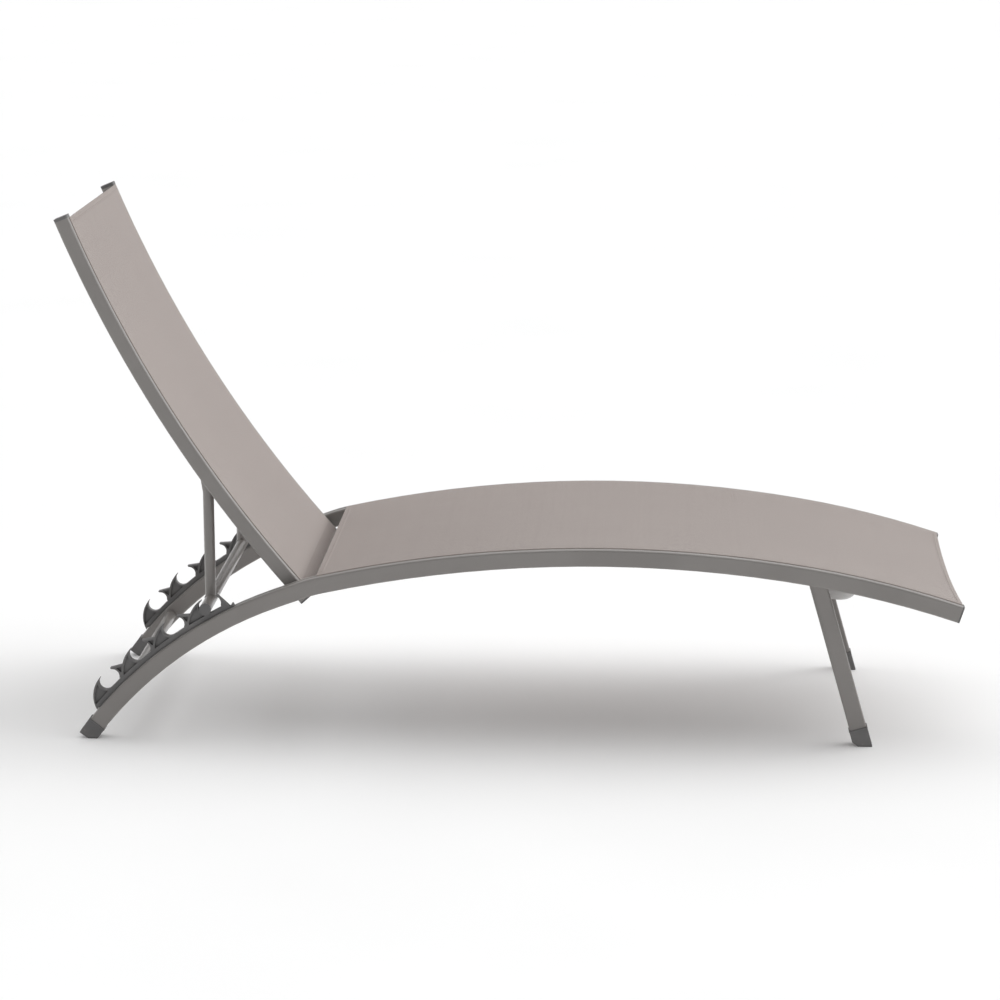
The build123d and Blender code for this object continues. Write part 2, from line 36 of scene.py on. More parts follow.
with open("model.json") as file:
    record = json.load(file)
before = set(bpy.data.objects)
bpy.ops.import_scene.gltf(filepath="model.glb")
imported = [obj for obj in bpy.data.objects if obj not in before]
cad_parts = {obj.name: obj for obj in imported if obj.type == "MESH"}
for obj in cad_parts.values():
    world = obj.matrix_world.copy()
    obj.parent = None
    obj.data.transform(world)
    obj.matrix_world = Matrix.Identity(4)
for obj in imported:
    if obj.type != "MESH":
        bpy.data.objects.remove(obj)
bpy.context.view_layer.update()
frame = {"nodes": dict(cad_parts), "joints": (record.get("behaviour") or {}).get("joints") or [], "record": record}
nodes = frame["nodes"]
subparts = frame["record"]["subparts"]
jointPlaces = {joint["name"]: Vector(joint["pos_m"]) for joint in frame["joints"]}
print("frame loaded with", len(nodes), "nodes")

random.seed(7)

# Centre lines of the bent rails. Each span is a run and its bend radius, and a
# radius of zero is straight.
frameRail = {
    "slope": math.radians(54.39),
    "spans": [(0.429, 0.714), (0.049, 0), (0.0316, 0.25), (0.854, 2.227), (0.263, 1.719)],
    "hingeAlong": 0.461,
    "half": 0.015,      # half the tube's depth
    "across": 0.2825,   # middle of the tube, from the lounger's middle
    "inner": 0.27,      # inner face of the tube
    "top": 1,           # the sling is to the left of the line
    "start": (0, 0),    # worked out below, so that the hinge is in its place
}
backRail = {
    "slope": math.radians(180 - 48.3),
    "spans": [(0.781, 2.321)],
    "hingeAlong": 0.025,
    "half": 0.0125,
    "across": 0.2415,
    "inner": 0.229,
    "top": -1,          # the sling is to the right of the line
    "start": (0, 0),
}


def railPoint(rail, along, out=0.0):
    # Point of a rail in X and Z, so far along it and out towards its sling
    x, z = rail["start"]
    slope = rail["slope"]
    for run, radius in rail["spans"]:
        step = min(along, run)
        turn = step / radius if radius else 0.0
        chord = 2 * radius * math.sin(turn / 2) if radius else step
        x += chord * math.cos(slope - turn / 2)
        z += chord * math.sin(slope - turn / 2)
        slope -= turn
        along -= step
    x += along * math.cos(slope)
    z += along * math.sin(slope)
    side = out * rail["top"]
    return Vector((x - side * math.sin(slope), z + side * math.cos(slope)))


def railLength(rail):
    return sum(run for run, radius in rail["spans"])


def outward(rail, along):
    # Direction out of the rail's sling side
    return (railPoint(rail, along, 1.0) - railPoint(rail, along)).normalized()


hingePlace = jointPlaces["back_fold"]
for rail in (frameRail, backRail):
    offset = railPoint(rail, rail["hingeAlong"])
    rail["start"] = (hingePlace.x - offset.x, hingePlace.z - offset.y)


def newPiece(name, points, faces, smooth=True):
    mesh = bpy.data.meshes.new(name)
    mesh.from_pydata([tuple(point) for point in points], [], faces)
    mesh.validate()
    mesh.polygons.foreach_set("use_smooth", [smooth] * len(mesh.polygons))
    piece = bpy.data.objects.new(name, mesh)
    bpy.context.scene.collection.objects.link(piece)
    return piece


def joinRings(count, corners, base=0, closed=False):
    # Faces from one ring of points to the next, and from the last to the first if closed
    faces = []
    for number in range(count if closed else count - 1):
        near = base + number * corners
        far = base + (number + 1) % count * corners
        for corner in range(corners):
            turned = (corner + 1) % corners
            faces.append((near + corner, near + turned, far + turned, far + corner))
    return faces


def joinParts(name, parts, finish):
    # One piece from several lots of points and faces
    points = []
    faces = []
    for partPoints, partFaces in parts:
        base = len(points)
        points += partPoints
        faces += [tuple(base + corner for corner in face) for face in partFaces]
    piece = newPiece(name, points, faces)
    piece.data.materials.append(finish)
    return piece


def smoothStep(low, high, value):
    share = min(max((value - low) / (high - low), 0.0), 1.0)
    return share * share * (3 - 2 * share)


# The photograph's camera, off the lounger's right side
camera = {
    "place": (0.2497, -5.8225, 1.6287),
    "turn": -2.7492,    # degrees, to the left of square on
    "tilt": 12.1552,    # degrees down
    "roll": 0.155,
    "lens": 118.8,
    "sensor": 36,
    "reach": 1000,      # past the floor's far edge
}


def makeCamera(look):
    turn = math.radians(look["turn"])
    tilt = math.radians(look["tilt"])
    roll = math.radians(look["roll"])
    level = math.cos(tilt)
    ahead = Vector((math.sin(turn) * level, math.cos(turn) * level, -math.sin(tilt)))
    right = Vector((math.cos(turn), -math.sin(turn), 0))
    up = right.cross(ahead)
    across = math.cos(roll) * right + math.sin(roll) * up
    upright = math.cos(roll) * up - math.sin(roll) * right
    place = look["place"]
    rows = [(across[i], upright[i], -ahead[i], place[i]) for i in range(3)]
    data = bpy.data.cameras.new("camera")
    data.lens = look["lens"]
    data.sensor_width = look["sensor"]
    data.clip_end = look["reach"]
    made = bpy.data.objects.new("camera", data)
    bpy.context.scene.collection.objects.link(made)
    made.matrix_world = Matrix((*rows, (0, 0, 0, 1)))
    bpy.context.scene.camera = made


makeCamera(camera)
print("camera placed")


class Value:
    # One socket in a material, so that plain sums add their Math nodes
    def __init__(self, finish, socket):
        self.finish = finish
        self.socket = socket

    def maths(self, operation, first, second=0.0):
        return self.finish.node("ShaderNodeMath", {"operation": operation}, {0: first, 1: second})

    def __add__(self, other):
        return self.maths("ADD", self, other)

    def __radd__(self, other):
        return self.maths("ADD", other, self)

    def __sub__(self, other):
        return self.maths("SUBTRACT", self, other)

    def __rsub__(self, other):
        return self.maths("SUBTRACT", other, self)

    def __mul__(self, other):
        return self.maths("MULTIPLY", self, other)

    def __rmul__(self, other):
        return self.maths("MULTIPLY", other, self)

    def __truediv__(self, other):
        return self.maths("DIVIDE", self, other)

    def __rtruediv__(self, other):
        return self.maths("DIVIDE", other, self)

    def floor(self):
        return self.maths("FLOOR", self)

    def odd(self):
        return self.maths("FLOORED_MODULO", self, 2.0)

    def sine(self):
        return self.maths("SINE", self)

    def larger(self, other):
        return self.maths("MAXIMUM", self, other)

    def above(self, other):
        return self.maths("GREATER_THAN", self, other)

    def between(self, low, high):
        # Nought up to low, one from high on, and smooth from one to the other
        sockets = {"Value": self, "From Min": low, "From Max": high}
        return self.finish.node("ShaderNodeMapRange", {"interpolation_type": "SMOOTHSTEP"}, sockets)


wearAndShade = {
    "rays": 6,                  # that look for edges and corners
    "edgeRange": (0.01, 0.12),  # how far the rounded normal is turned, flat to fully worn
    "cornerRange": (0.15, 0.8),     # how closed in the place is, open to the fullest painted shade
}


class Finish:
    # A material, or the studio's surroundings, under construction
    def __init__(self, name, kind="materials"):
        self.made = getattr(bpy.data, kind).new(name)
        self.made.use_nodes = True
        self.tree = self.made.node_tree
        self.tree.nodes.clear()

    def node(self, kind, settings=None, sockets=None, out=0):
        node = self.tree.nodes.new(kind)
        for key, value in (settings or {}).items():
            setattr(node, key, value)
        for key, value in (sockets or {}).items():
            if isinstance(value, Value):
                self.tree.links.new(value.socket, node.inputs[key])
            else:
                node.inputs[key].default_value = value
        return Value(self, node.outputs[out]) if node.outputs else None

    def mix(self, first, second, share):
        # Colours, with the share of the second
        sockets = {0: share, 6: first, 7: second}
        return self.node("ShaderNodeMix", {"data_type": "RGBA"}, sockets, out=2)

    def speckle(self, place, scale, detail=2.0, roughness=0.5):
        sockets = {"Vector": place, "Scale": scale, "Detail": detail, "Roughness": roughness}
        return self.node("ShaderNodeTexNoise", {}, sockets)

    def stretched(self, place, scale, turn=(0, 0, 0)):
        sockets = {"Vector": place, "Scale": scale, "Rotation": turn}
        return self.node("ShaderNodeMapping", {}, sockets)

    def bump(self, height, distance, strength=1.0):
        sockets = {"Height": height, "Distance": distance, "Strength": strength}
        return self.node("ShaderNodeBump", {}, sockets)

    def objectPlace(self):
        return self.node("ShaderNodeTexCoord", out="Object")

    def part(self, vector, axis):
        return self.node("ShaderNodeSeparateXYZ", {}, {"Vector": vector}, out=axis)

    def edges(self, radius):
        # One on the sharp outer edges and nought on the flats
        rounded = self.node("ShaderNodeBevel", {"samples": wearAndShade["rays"]}, {"Radius": radius})
        plain = self.node("ShaderNodeNewGeometry", out="Normal")
        sockets = {0: rounded, 1: plain}
        settings = {"operation": "DOT_PRODUCT"}
        same = self.node("ShaderNodeVectorMath", settings, sockets, out="Value")
        return (1 - same).between(*wearAndShade["edgeRange"])

    def crevice(self, reach):
        # One deep in a corner and nought out in the open, the mask for painted shade in corners and crevices
        settings = {"samples": wearAndShade["rays"]}
        opening = self.node("ShaderNodeAmbientOcclusion", settings, {"Distance": reach}, out="AO")
        return (1 - opening).between(*wearAndShade["cornerRange"])

    def surface(self, sockets):
        shader = self.node("ShaderNodeBsdfPrincipled", {}, sockets)
        self.node("ShaderNodeOutputMaterial", {}, {"Surface": shader})
        return self.made


def rgb(red, green, blue):
    # A screen colour from 0 to 255, taken off the screen's own curve
    parts = [part / 255 for part in (red, green, blue)]
    bare = [part / 12.92 if part <= 0.04045 else ((part + 0.055) / 1.055) ** 2.4 for part in parts]
    return (*bare, 1)


# A pattern is its scale, then its detail, then its roughness
powderLook = {
    "colour": rgb(140, 136, 133),
    "dark": rgb(133, 129, 126),
    "worn": rgb(186, 182, 178),
    "cornerShade": rgb(84, 80, 77),
    "peel": (700, 3.0),
    "peelDepth": 0.00003,
    "drift": (5.0, 3.0),
    "driftRange": (0.3, 0.6),
    "rub": (60.0, 4.0, 0.65),
    "edge": 0.0009,             # how far in from an edge the coat is thin
    "edgeRub": (0.42, 0.7),
    "edgeShare": 0.6,
    "corner": 0.006,            # how far out of a corner the painted shade reaches
    "cornerShare": 0.45,
    "roughness": 0.32,
    "driftDulls": 0.06,
    "rubRange": (0.5, 0.9),
    "rubDulls": 0.08,
    "coat": 0.3,
    "coatRoughness": 0.16,
}


def powderCoat(look):
    # Satin powder coat with a fine orange peel, rubbed thin on the edges
    finish = Finish("powderCoat")
    place = finish.objectPlace()
    peel = finish.speckle(place, *look["peel"])
    drift = finish.speckle(place, *look["drift"])
    rub = finish.speckle(place, *look["rub"])
    worn = finish.edges(look["edge"]) * rub.between(*look["edgeRub"])
    # Painted shade: the coat is darkened in corners and crevices, where shade falls
    cornerShaded = finish.crevice(look["corner"])
    colour = finish.mix(look["dark"], look["colour"], drift.between(*look["driftRange"]))
    colour = finish.mix(colour, look["worn"], worn * look["edgeShare"])
    colour = finish.mix(colour, look["cornerShade"], cornerShaded * look["cornerShare"])
    dulled = drift * look["driftDulls"] + rub.between(*look["rubRange"]) * look["rubDulls"]
    return finish.surface({
        "Base Color": colour,
        "Roughness": look["roughness"] + dulled,
        "Normal": finish.bump(peel, look["peelDepth"]),
        "Coat Weight": look["coat"],
        "Coat Roughness": look["coatRoughness"],
    })


plasticLook = {
    "colour": rgb(102, 101, 101),
    "pale": rgb(138, 136, 135),
    "cornerShade": rgb(44, 43, 42),
    "grain": (1500, 2.0),
    "grainDepth": 0.00004,
    "flow": (14.0, 3.0),
    "flowRange": (0.35, 0.75),
    "flowShare": 0.4,
    "scratchScale": (60, 400, 60),
    "scratchTurn": (0.3, 0.5, 0.2),
    "scratch": (1.0, 4.0, 0.7),
    "scratchRange": (0.58, 0.75),
    "edge": 0.0008,
    "edgeFlow": (0.35, 0.65),
    "corner": 0.007,
    "cornerShare": 0.75,
    "roughness": 0.5,
    "grainDulls": 0.08,
    "edgeShines": 0.08,
    "scuffDulls": 0.15,
    "rackScuffs": 0.35,
    "footScuffs": 0.8,
}


def mouldedPlastic(name, look, scuffs):
    # Fine spark-grained moulding, whitened a little where it is rubbed
    finish = Finish(name)
    place = finish.objectPlace()
    grain = finish.speckle(place, *look["grain"])
    flow = finish.speckle(place, *look["flow"])
    scratched = finish.stretched(place, look["scratchScale"], look["scratchTurn"])
    scratch = finish.speckle(scratched, *look["scratch"])
    scuff = scratch.between(*look["scratchRange"]) * scuffs
    worn = finish.edges(look["edge"]) * flow.between(*look["edgeFlow"])
    # Painted shade: the moulding is darkened in corners and recesses, where shade falls
    cornerShaded = finish.crevice(look["corner"])
    pale = flow.between(*look["flowRange"]) * look["flowShare"]
    colour = finish.mix(look["colour"], look["pale"], pale)
    colour = finish.mix(colour, look["pale"], scuff)
    colour = finish.mix(colour, look["pale"], worn)
    colour = finish.mix(colour, look["cornerShade"], cornerShaded * look["cornerShare"])
    dulled = grain * look["grainDulls"] - worn * look["edgeShines"] + scuff * look["scuffDulls"]
    return finish.surface({
        "Base Color": colour,
        "Roughness": look["roughness"] + dulled,
        "Normal": finish.bump(grain, look["grainDepth"]),
    })


slingLook = {
    "warp": rgb(171, 160, 155),
    "weft": rgb(160, 149, 144),
    "fleck": rgb(188, 179, 174),
    "gapAndShade": rgb(93, 85, 81),
    "pitch": 0.00135,
    "level": 0.6,               # a yarn's height, and how far it rises and dips
    "rise": 0.4,
    "gapRange": (0.25, 0.62),   # heights between the gap's colour and the yarn's
    "warpSeed": 0.37,
    "weftSeed": 0.53,
    "weftShift": 9.0,
    "warpFleck": 0.5,
    "weftFleck": 0.7,
    "fade": (3.5, 3.0),
    "fadeRange": (0.45, 0.7),
    "fadeShare": 0.18,
    "corner": 0.022,
    "cornerShare": 0.3,
    "rollShadeRange": (0.026, 0.0285),     # along the back, near the roll at its low end: painted shade below, none above
    "rollShadeShare": 0.22,
    "depth": 0.0003,
    "depthShare": 0.6,
    "roughness": 0.62,
    "topShines": 0.12,
    "specular": 0.35,
}


def slingWeave(look):
    # Plain weave of coated yarns, laid out on the sheet's own map in metres
    finish = Finish("slingWeave")
    cloth = finish.node("ShaderNodeUVMap", {"uv_map": "weave"})
    length = finish.part(cloth, "Y")
    across = finish.part(cloth, "X") / look["pitch"]
    along = length / look["pitch"]
    warpNumber = across.floor()
    weftNumber = along.floor()
    warpRound = ((across - warpNumber) * math.pi).sine()
    weftRound = ((along - weftNumber) * math.pi).sine()
    over = (warpNumber + weftNumber).odd() * 2 - 1      # 1 where the warp is on top, else -1
    warpHeight = warpRound * (look["level"] + look["rise"] * over * weftRound)
    weftHeight = weftRound * (look["level"] - look["rise"] * over * warpRound)
    height = warpHeight.larger(weftHeight)

    chance = {"noise_dimensions": "1D"}
    warpPlace = warpNumber * look["warpSeed"]
    weftPlace = weftNumber * look["weftSeed"] + look["weftShift"]
    warpTone = finish.node("ShaderNodeTexWhiteNoise", chance, {"W": warpPlace})
    weftTone = finish.node("ShaderNodeTexWhiteNoise", chance, {"W": weftPlace})
    warpColour = finish.mix(look["warp"], look["fleck"], warpTone * look["warpFleck"])
    weftColour = finish.mix(look["weft"], look["warp"], weftTone * look["weftFleck"])
    yarn = finish.mix(weftColour, warpColour, warpHeight.above(weftHeight))

    faded = finish.speckle(finish.objectPlace(), *look["fade"]).between(*look["fadeRange"])
    # Painted shade: the sling is darkened where it is closed in, in corners and creases
    cornerShaded = finish.crevice(look["corner"])
    # Painted shade: the back sling is darkened near its low end and round the roll, where shade falls between back
    # and seat
    rollShade = 1 - length.between(*look["rollShadeRange"])
    colour = finish.mix(look["gapAndShade"], yarn, height.between(*look["gapRange"]))
    colour = finish.mix(colour, look["weft"], faded * look["fadeShare"])
    colour = finish.mix(colour, look["gapAndShade"], cornerShaded * look["cornerShare"])
    colour = finish.mix(colour, look["gapAndShade"], rollShade * look["rollShadeShare"])
    return finish.surface({
        "Base Color": colour,
        "Roughness": look["roughness"] - height * look["topShines"],
        "Normal": finish.bump(height, look["depth"], look["depthShare"]),
        "Specular IOR Level": look["specular"],
    })


threadLook = {
    "colour": rgb(150, 141, 136),
    "pale": rgb(184, 176, 171),
    "twistScale": 900.0,
    "twistShare": 0.6,
    "fuzzScale": 2500.0,
    "fuzzShare": 0.3,
    "roughness": 0.7,
    "depth": 0.0001,
}


def stitchThread(look):
    # Twisted polyester thread
    finish = Finish("stitchThread")
    place = finish.objectPlace()
    sockets = {"Vector": place, "Scale": look["twistScale"]}
    twist = finish.node("ShaderNodeTexWave", {"bands_direction": "DIAGONAL"}, sockets)
    fuzz = finish.speckle(place, look["fuzzScale"])
    pale = twist * look["twistShare"] + fuzz * look["fuzzShare"]
    return finish.surface({
        "Base Color": finish.mix(look["colour"], look["pale"], pale),
        "Roughness": look["roughness"],
        "Normal": finish.bump(twist, look["depth"]),
    })


cordLook = {
    "colour": rgb(92, 87, 84),
    "pale": rgb(116, 110, 106),
    "streakScale": (4, 300, 4),
    "streak": (1.0, 3.0),
    "roughness": 0.45,
    "streakDulls": 0.2,
    "depth": 0.0001,
}


def cordPlastic(look):
    # Extruded soft cord in the groove
    finish = Finish("cordPlastic")
    drawn = finish.stretched(finish.objectPlace(), look["streakScale"])
    streak = finish.speckle(drawn, *look["streak"])
    return finish.surface({
        "Base Color": finish.mix(look["colour"], look["pale"], streak),
        "Roughness": look["roughness"] + streak * look["streakDulls"],
        "Normal": finish.bump(streak, look["depth"]),
    })


nylonLook = {
    "colour": rgb(38, 38, 40),
    "pale": rgb(58, 58, 60),
    "grain": (1200.0, 3.0),
    "roughness": 0.42,
    "grainDulls": 0.12,
    "depth": 0.00003,
}


def nylonBush(look):
    # Turned black nylon
    finish = Finish("nylonBush")
    grain = finish.speckle(finish.objectPlace(), *look["grain"])
    return finish.surface({
        "Base Color": finish.mix(look["colour"], look["pale"], grain),
        "Roughness": look["roughness"] + grain * look["grainDulls"],
        "Normal": finish.bump(grain, look["depth"]),
    })


zincLook = {
    "bright": rgb(176, 178, 180),
    "dull": rgb(120, 118, 112),
    "turnedScale": 700.0,
    "turnedDepth": 0.00003,
    "blotch": (180.0, 4.0, 0.7),
    "blotchRange": (0.45, 0.7),
    "oxideRange": (0.55, 0.8),
    "oxideShare": 0.35,
    "roughness": 0.3,
    "blotchDulls": 0.25,
}


def zincSteel(look):
    # Turned and zinc-plated fasteners, dulled outdoors
    finish = Finish("zincSteel")
    place = finish.objectPlace()
    rings = {"wave_type": "RINGS", "rings_direction": "Y"}
    sockets = {"Vector": place, "Scale": look["turnedScale"]}
    turned = finish.node("ShaderNodeTexWave", rings, sockets)
    blotch = finish.speckle(place, *look["blotch"])
    colour = finish.mix(look["bright"], look["dull"], blotch.between(*look["blotchRange"]))
    return finish.surface({
        "Base Color": colour,
        "Metallic": 1 - blotch.between(*look["oxideRange"]) * look["oxideShare"],
        "Roughness": look["roughness"] + blotch * look["blotchDulls"],
        "Normal": finish.bump(turned, look["turnedDepth"]),
    })


thread = stitchThread(threadLook)
finishes = {
    "frame_paint": powderCoat(powderLook),
    "dark_plastic": mouldedPlastic("rackPlastic", plasticLook, plasticLook["rackScuffs"]),
    "foot_plastic": mouldedPlastic("footPlastic", plasticLook, plasticLook["footScuffs"]),
    "sling_fabric": slingWeave(slingLook),
    "edge_cord": cordPlastic(cordLook),
    "nylon": nylonBush(nylonLook),
    "fastener_steel": zincSteel(zincLook),
}
for subpart in subparts:
    mesh = nodes[subpart["node"]].data
    mesh.materials.clear()
    mesh.materials.append(finishes[subpart["material_slot"]])
print("finishes made:", len(finishes) + 1)


sling = {
    "thickness": 0.0011,
    "lift": 0.0003,         # over the rail's lip
    "bend": 0.0013,         # radius at which it turns down into the groove
    "bendSteps": 4,
    "reachDown": 0.0035,    # how far its edge shows in the groove
    "turnIn": 0.01,         # cut width at each side that goes round the cord
    "hemWidth": 0.011,
    "hemStep": 0.0008,      # over which the hem's second layer ends
    "hemRaise": 0.0004,
    "endLeast": 0.02,       # share of the thickness left at a rounded end
    "ripple": 0.0004,
    "rippleAcross": 7,
    "rippleAlong": 3.2,
    "rippleSeed": 4.0,
    "pucker": 0.00012,      # between the stitches of a hem
    "puckerPitch": 0.0104,
    "still": 0.004,         # how far from the rail nothing ripples
    "loose": 0.03,          # and from where it ripples fully
    "edgeStep": 0.0002,     # step along the sling at a rounded end
    "edgeReach": 0.0012,
    "fineStep": 0.0011,     # near a hem
    "fineReach": 0.008,
    "coarseStep": 0.0075,   # and elsewhere
    "acrossCount": 96,
}


def hemShares(along, start, end, hems):
    # 1 in a hem and 0 outside it, and how far the nearest hemmed end is
    distances = {"start": along - start, "end": end - along}
    toEnd = min(distances[hem] for hem in hems)
    width = sling["hemWidth"]
    return 1 - smoothStep(width - sling["hemStep"], width, toEnd), toEnd


def slingStations(start, end, hems):
    # Places along the sling, close together at its hems
    dense = sling["hemWidth"] + sling["fineReach"]
    places = [start]
    while places[-1] < end:
        place = places[-1]
        nearStart = "start" in hems and place - start < dense
        nearEnd = "end" in hems and end - place < dense + sling["coarseStep"]
        step = sling["coarseStep"]
        if nearStart or nearEnd:
            atEdge = min(place - start, end - place) < sling["edgeReach"]
            step = sling["edgeStep"] if atEdge else sling["fineStep"]
        places.append(place + step)
    places[-1] = end
    return places


def hangAt(rail, across, sag):
    # How far a sag brings the sling down, so far from its middle
    return sag * max(0.0, 1 - (across / rail["inner"]) ** 2)


def turnedEdge(rail):
    # The side of a sling, from down in the groove to where it lies flat, each
    # point with the direction that it faces
    side = rail["across"]
    bend = sling["bend"]
    steps = sling["bendSteps"]
    edge = []
    for number in range(steps):
        edge.append((side, -bend - sling["reachDown"] * (1 - number / steps), (1, 0)))
    for number in range(steps + 1):
        angle = math.radians(90 * number / steps)
        facing = (math.cos(angle), math.sin(angle))
        edge.append((side - bend + bend * facing[0], -bend + bend * facing[1], facing))
    return edge


def drawnTogether(upper, lower, toEnd):
    # The top and the under side brought near each other, for a rounded end
    bulge = math.sqrt(max(0.0, 1 - (1 - 2 * toEnd / sling["thickness"]) ** 2))
    share = bulge * (1 - sling["endLeast"]) + sling["endLeast"]
    drawnUpper = []
    drawnLower = []
    for (y, top), (underY, under) in zip(upper, lower):
        middleY = (y + underY) / 2
        middle = (top + under) / 2
        drawnUpper.append((middleY + (y - middleY) * share, middle + (top - middle) * share))
        drawnLower.append((middleY + (underY - middleY) * share, middle + (under - middle) * share))
    return drawnUpper, drawnLower


def slingSection(rail, sag, inHem, toEnd, along):
    # Cross-section as (across, height over the lip) for the top and the under side
    half = sling["thickness"] / 2
    flat = rail["across"] - sling["bend"]
    inner = rail["inner"]
    edge = turnedEdge(rail)
    upper = [(y + half * ny, height + half * nh) for y, height, (ny, nh) in edge]
    lower = [(y - half * ny, height - half * nh) for y, height, (ny, nh) in edge]
    count = sling["acrossCount"]
    drift = along * sling["rippleAlong"]
    for number in range(1, count):
        y = flat - 2 * flat * number / count
        loose = smoothStep(inner - sling["still"], inner - sling["loose"], abs(y))
        spot = Vector((y * sling["rippleAcross"], drift, sling["rippleSeed"]))
        ripple = sling["ripple"] * noise.noise(spot) * loose
        wave = math.sin(2 * math.pi * y / sling["puckerPitch"])
        middle = ripple + sling["pucker"] * wave * inHem * loose - hangAt(rail, y, sag)
        upper.append((y, middle + half + sling["hemRaise"] * inHem * loose))
        lower.append((y, middle - half - sling["thickness"] * inHem * loose))
    for y, height, (ny, nh) in reversed(edge):
        upper.append((-y - half * ny, height + half * nh))
        lower.append((-y + half * ny, height - half * nh))
    if toEnd < half:
        return drawnTogether(upper, lower, toEnd)
    return upper, lower


def buildSheet(name, sections):
    # One closed sheet through sections of (origin, outward, along, upper, lower)
    points = []
    mapped = []
    for origin, normal, along, upper, lower in sections:
        for y, height in upper + lower[::-1]:
            spot = origin + normal * height
            points.append((spot.x, y, spot.y))
            mapped.append((y, along))
    count = len(sections)
    ring = len(points) // count
    faces = joinRings(count, ring)
    last = (count - 1) * ring
    for corner in range(ring // 2 - 1):
        partner = ring - 1 - corner
        faces.append((corner, partner, partner - 1, corner + 1))
        faces.append((last + corner, last + corner + 1, last + partner - 1, last + partner))
    piece = newPiece(name, points, faces)
    piece.data.materials.append(finishes["sling_fabric"])
    layer = piece.data.uv_layers.new(name="weave")
    for loop in piece.data.loops:
        layer.data[loop.index].uv = mapped[loop.vertex_index]
    return piece


def middleOut(rail):
    # How far out from the rail's centre line the middle of its sling lies
    return rail["half"] + sling["lift"] + sling["thickness"] / 2


def stretchedSections(rail, start, end, hems, sagAt):
    sections = []
    for along in slingStations(start, end, hems):
        inHem, toEnd = hemShares(along, start, end, hems)
        upper, lower = slingSection(rail, sagAt(along), inHem, toEnd, along)
        origin = railPoint(rail, along, middleOut(rail))
        sections.append((origin, outward(rail, along), along, upper, lower))
    return sections


stitch = {
    "fromHem": 0.0028,      # the row's distance inside the hem's inner edge
    "fromRail": 0.004,
    "pitch": 0.0036,
    "wander": 0.0002,
    "thick": 0.0004,
    "raise": 0.0001,
    "shares": (-0.46, -0.36, 0.0, 0.36, 0.46),      # of the pitch, from its middle
    "sink": 0.0004,         # at its ends, where it also gets thin
    "sinkPower": 4,
    "thinner": 0.75,
    "thinPower": 6,
    "corners": 6,
}


def stitchRow(rail, along, sag):
    # One lockstitch after another across a hem, each sinking in at its ends
    points = []
    faces = []
    reach = rail["inner"] - stitch["fromRail"]
    pitch = stitch["pitch"]
    shares = stitch["shares"]
    corners = stitch["corners"]
    normal = outward(rail, along)
    up = Vector((normal.x, 0, normal.y))
    sideways = Vector((-up.z, 0, up.x))
    top = rail["half"] + sling["lift"] + sling["thickness"] + sling["hemRaise"] + stitch["raise"]
    for number in range(int(2 * reach / pitch)):
        middle = -reach + (number + 0.5) * pitch
        place = along + random.uniform(-stitch["wander"], stitch["wander"])
        base = len(points)
        for share in shares:
            y = middle + share * pitch
            outer = abs(share) / shares[-1]
            sink = stitch["sink"] * outer ** stitch["sinkPower"]
            size = stitch["thick"] * (1 - stitch["thinner"] * outer ** stitch["thinPower"])
            spot = railPoint(rail, place, top - sink - hangAt(rail, y, sag))
            centre = Vector((spot.x, y, spot.y))
            for corner in range(corners):
                angle = 2 * math.pi * corner / corners
                side = sideways * math.cos(angle) + up * math.sin(angle)
                points.append(centre + side * size)
        last = len(points) - corners
        faces += joinRings(len(shares), corners, base)
        faces.append(tuple(base + corner for corner in reversed(range(corners))))
        faces.append(tuple(last + corner for corner in range(corners)))
    return points, faces


seatSling = {
    "start": 0.506,
    "end": railLength(frameRail) - 0.0005,
    "sag": 0.009,           # at the toe end
    "leastSag": 0.0001,     # at the head end
    "sagPower": 0.4,
}


def seatSag(along):
    share = (along - seatSling["start"]) / (seatSling["end"] - seatSling["start"])
    more = (seatSling["sag"] - seatSling["leastSag"]) * max(share, 0.0) ** seatSling["sagPower"]
    return seatSling["leastSag"] + more


def makeSeatSling():
    start = seatSling["start"]
    end = seatSling["end"]
    hems = ("start", "end")
    piece = buildSheet("seat_sling", stretchedSections(frameRail, start, end, hems, seatSag))
    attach(piece, "frame")
    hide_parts("seat_fabric")

    inwards = sling["hemWidth"] - stitch["fromHem"]
    places = (start + inwards, end - inwards)
    rows = [stitchRow(frameRail, along, seatSag(along)) for along in places]
    stitches = joinParts("seat_hem_stitches", rows, thread)
    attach(stitches, "frame")

    length = end - start + 2 * sling["hemWidth"]


makeSeatSling()
print("seat sling made")


backSling = {
    "start": 0.009,         # beside the middle of the lower tube
    "end": railLength(backRail) - 0.0005,
    "sag": 0.007,
    "leastSag": 0.0001,
    "sagPower": 0.6,
    "sagAngle": 175,
    "tubeRadius": 0.0095,
    "rollGap": 0.0003,      # from the tube to the sling round it
    "rollReach": 0.228,     # half the roll's width, which fits between the rails
    "rollAngle": 190,
    "rollSteps": 24,
    "sleeveReach": 0.221,   # narrower behind, clear of the hinge bolts
    "sleeveEnd": 0.05,
    "sleeveGap": 0.0004,    # from the sleeve to the front layer at the rails
    "sleeveClear": 0.0003,  # and what is added to this in the middle
    "sleeveSteps": 8,
    "sleeveLength": 0.09,   # cut length round the tube and up behind
}


def backSag(along):
    share = max((along - backSling["start"]) / (backSling["end"] - backSling["start"]), 0.0)
    swing = math.sin(math.radians(backSling["sagAngle"]) * share ** backSling["sagPower"])
    return backSling["leastSag"] + (backSling["sag"] - backSling["leastSag"]) * swing


def narrowSection(reach, template, push=0.0):
    # A section between the rails, with as many points as the template
    half = sling["thickness"] / 2
    upper = []
    lower = []
    for y, height in template:
        y = min(max(y, -reach), reach)
        middle = hangAt(backRail, y, push)
        upper.append((y, middle + half))
        lower.append((y, middle - half))
    return upper, lower


